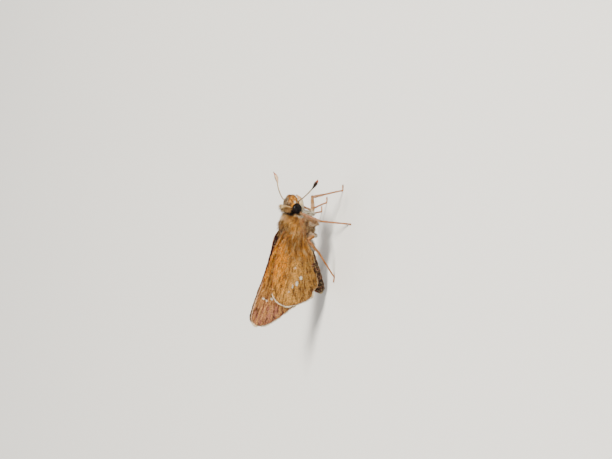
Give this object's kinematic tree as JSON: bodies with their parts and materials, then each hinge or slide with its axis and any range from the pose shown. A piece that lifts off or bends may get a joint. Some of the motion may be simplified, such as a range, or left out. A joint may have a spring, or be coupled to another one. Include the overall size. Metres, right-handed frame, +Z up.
{
  "type": "common straight swift butterfly model",
  "caption": "Life-size golden brown skipper butterfly at rest on its feet, wings closed over its back, hooked club antennae, coiled tongue and thick furry thorax.",
  "frame": {"origin": "middle of the footprint, on the floor that the six feet stand on", "axes": "+X forward to the head, +Y to the animal's left, +Z up"},
  "size_m": [0.0258, 0.0152, 0.0129],
  "materials": {
    "wing": "matt golden brown scales with a soft sheen",
    "fur": "soft golden to olive brown hair",
    "dark_scales": "dark brown scales with pale flecks",
    "cream_fur": "cream white hair",
    "chitin": "satin, pale brown, finely scaled",
    "eye": "glossy black with fine facets"
  },
  "bodies": {
    "root": {"head": "fur", "collar": "cream_fur", "thorax": "fur", "abdomen": "dark_scales", "eye_left": "eye", "eye_right": "eye", "palp_left": "cream_fur", "palp_right": "cream_fur", "proboscis": "chitin", "antenna_left": "chitin", "antenna_right": "chitin", "foreleg_left": "chitin", "foreleg_right": "chitin", "midleg_left": "chitin", "midleg_right": "chitin", "hindleg_left": "chitin", "hindleg_right": "chitin", "forewing_left": "wing", "forewing_right": "wing", "hindwing_left": "wing", "hindwing_right": "wing"}
  },
  "joints": []
}
